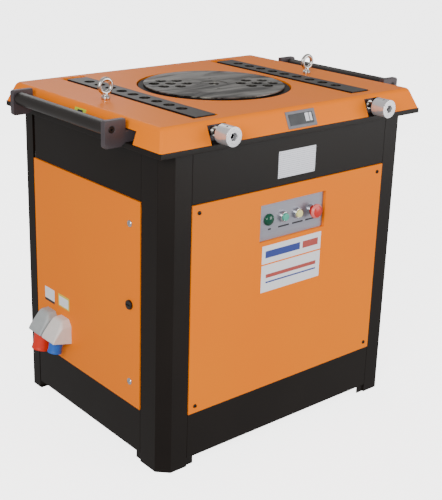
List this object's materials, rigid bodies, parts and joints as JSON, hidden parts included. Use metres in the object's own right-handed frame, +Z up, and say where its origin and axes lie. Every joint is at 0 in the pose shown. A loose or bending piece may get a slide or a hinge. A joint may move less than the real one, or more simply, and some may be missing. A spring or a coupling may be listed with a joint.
{
  "type": "rebar bending machine",
  "caption": "Floor-standing rebar bender: hipped steel table over a panelled cabinet, driven turntable with pin holes, hole strips on lead screws, side rollers, door and controls.",
  "frame": {"origin": "on the floor under the middle of the overall length and width; the turntable axis stands 21.75 mm behind it", "axes": "+Z up; the control side with the two adjusting knobs faces -Y; +X is the operator's right"},
  "size_m": [1.008, 0.7426, 0.957],
  "materials": {
    "orange_paint": "satin",
    "black_paint": "satin",
    "bracket_paint": "satin",
    "machined_steel": "turned",
    "bright_steel": "zinc plated",
    "roller_steel": "drawn",
    "strip_steel": "oiled",
    "knob_aluminium": "turned",
    "brushed_aluminium": "brushed",
    "cast_housing": "painted",
    "motor_paint": "gloss",
    "green_lens": "gloss",
    "green_plastic": "gloss",
    "yellow_plastic": "gloss",
    "red_plastic": "gloss",
    "blue_plastic": "matte",
    "white_plastic": "matte",
    "grey_plastic": "matte",
    "dark_display": "gloss",
    "black_lock": "gloss"
  },
  "bodies": {
    "machine": {"control_box": "orange_paint", "control_plate": "brushed_aluminium", "corner_post_front_left": "black_paint", "corner_post_front_right": "black_paint", "corner_post_rear_left": "black_paint", "corner_post_rear_right": "black_paint", "counter_display": "dark_display", "door_pivot_lower": "bright_steel", "door_pivot_upper": "bright_steel", "front_panel": "orange_paint", "gear_case": "cast_housing", "lifting_eye_left": "bright_steel", "lifting_eye_right": "bright_steel", "main_bearing_lower": "bright_steel", "main_bearing_upper": "bright_steel", "motor": "motor_paint", "pilot_lamp": "green_lens", "rear_panel": "orange_paint", "reducer_housing": "cast_housing", "right_panel": "orange_paint", "roller_axle_left": "bright_steel", "roller_axle_right": "bright_steel", "roller_bracket_left_front": "bracket_paint", "roller_bracket_left_rear": "bracket_paint", "roller_bracket_right_front": "bracket_paint", "roller_bracket_right_rear": "bracket_paint", "screw_support_bar": "bracket_paint", "sill_front": "black_paint", "sill_left": "black_paint", "sill_rear": "black_paint", "sill_right": "black_paint", "strip_rail_left": "strip_steel", "strip_rail_right": "strip_steel", "table_plate": "orange_paint", "top_band_front": "black_paint", "top_band_left": "black_paint", "top_band_rear": "black_paint", "top_band_right": "black_paint", "under_plate": "black_paint"},
    "turntable": {"turntable_disc": "machined_steel", "main_shaft": "bright_steel", "main_gear": "machined_steel"},
    "pinion": {"drive_pinion": "machined_steel"},
    "knob_left": {"knob_left": "knob_aluminium", "lead_screw_left": "bright_steel"},
    "knob_right": {"knob_right": "knob_aluminium", "lead_screw_right": "bright_steel"},
    "strip_left": {"hole_strip_left": "strip_steel"},
    "strip_right": {"hole_strip_right": "strip_steel"},
    "roller_left": {"roller_left": "roller_steel"},
    "roller_right": {"roller_right": "roller_steel"},
    "door": {"left_door": "orange_paint", "power_inlet_housing": "grey_plastic", "power_inlet_collar": "red_plastic", "pedal_inlet_housing": "white_plastic", "pedal_inlet_collar": "blue_plastic"},
    "lock": {"door_lock": "black_lock"},
    "green_button": {"green_button": "green_plastic"},
    "yellow_button": {"yellow_button": "yellow_plastic"},
    "stop_button": {"stop_button": "red_plastic"}
  },
  "joints": [
    {"name": "turntable_turn", "type": "hinge", "parent": "machine", "child": "turntable", "pos_m": [0, 0.02175, 0.9], "axis": [0, 0, 1], "continuous": true},
    {"name": "pinion_turn", "type": "hinge", "parent": "machine", "child": "pinion", "pos_m": [0, 0.20175, 0.76], "axis": [0, 0, 1], "continuous": true},
    {"name": "knob_left_turn", "type": "hinge", "parent": "machine", "child": "knob_left", "pos_m": [-0.2675, -0.35025, 0.8715], "axis": [0, -1, 0], "range_deg": [0, 2070]},
    {"name": "strip_left_slide", "type": "slide", "parent": "machine", "child": "strip_left", "axis": [0, 1, 0], "range_m": [0, 0.023]},
    {"name": "knob_right_turn", "type": "hinge", "parent": "machine", "child": "knob_right", "pos_m": [0.2675, -0.35025, 0.8715], "axis": [0, -1, 0], "range_deg": [0, 2070]},
    {"name": "strip_right_slide", "type": "slide", "parent": "machine", "child": "strip_right", "axis": [0, 1, 0], "range_m": [0, 0.023]},
    {"name": "roller_left_spin", "type": "hinge", "parent": "machine", "child": "roller_left", "pos_m": [-0.484, 0.02175, 0.882], "axis": [0, 1, 0], "continuous": true},
    {"name": "roller_right_spin", "type": "hinge", "parent": "machine", "child": "roller_right", "pos_m": [0.484, 0.02175, 0.882], "axis": [0, 1, 0], "continuous": true},
    {"name": "door_swing", "type": "hinge", "parent": "machine", "child": "door", "pos_m": [-0.4075, 0.27375, 0.425], "axis": [0, 0, -1], "range_deg": [0, 95]},
    {"name": "lock_turn", "type": "hinge", "parent": "door", "child": "lock", "pos_m": [-0.4165, -0.17125, 0.425], "axis": [1, 0, 0], "range_deg": [0, 90]},
    {"name": "green_button_press", "type": "slide", "parent": "machine", "child": "green_button", "axis": [0, 1, 0], "range_m": [0, 0.004], "stiffness_N_per_m": 900, "springref_m": -0.002},
    {"name": "yellow_button_press", "type": "slide", "parent": "machine", "child": "yellow_button", "axis": [0, 1, 0], "range_m": [0, 0.004], "stiffness_N_per_m": 900, "springref_m": -0.002},
    {"name": "stop_button_press", "type": "slide", "parent": "machine", "child": "stop_button", "axis": [0, 1, 0], "range_m": [0, 0.006]}
  ],
  "couplings": [
    {"joint": "pinion_turn", "follows": "turntable_turn", "ratio": -4},
    {"joint": "knob_left_turn", "follows": "strip_left_slide", "rad_per_m": 1570.8},
    {"joint": "knob_right_turn", "follows": "strip_right_slide", "rad_per_m": 1570.8}
  ]
}
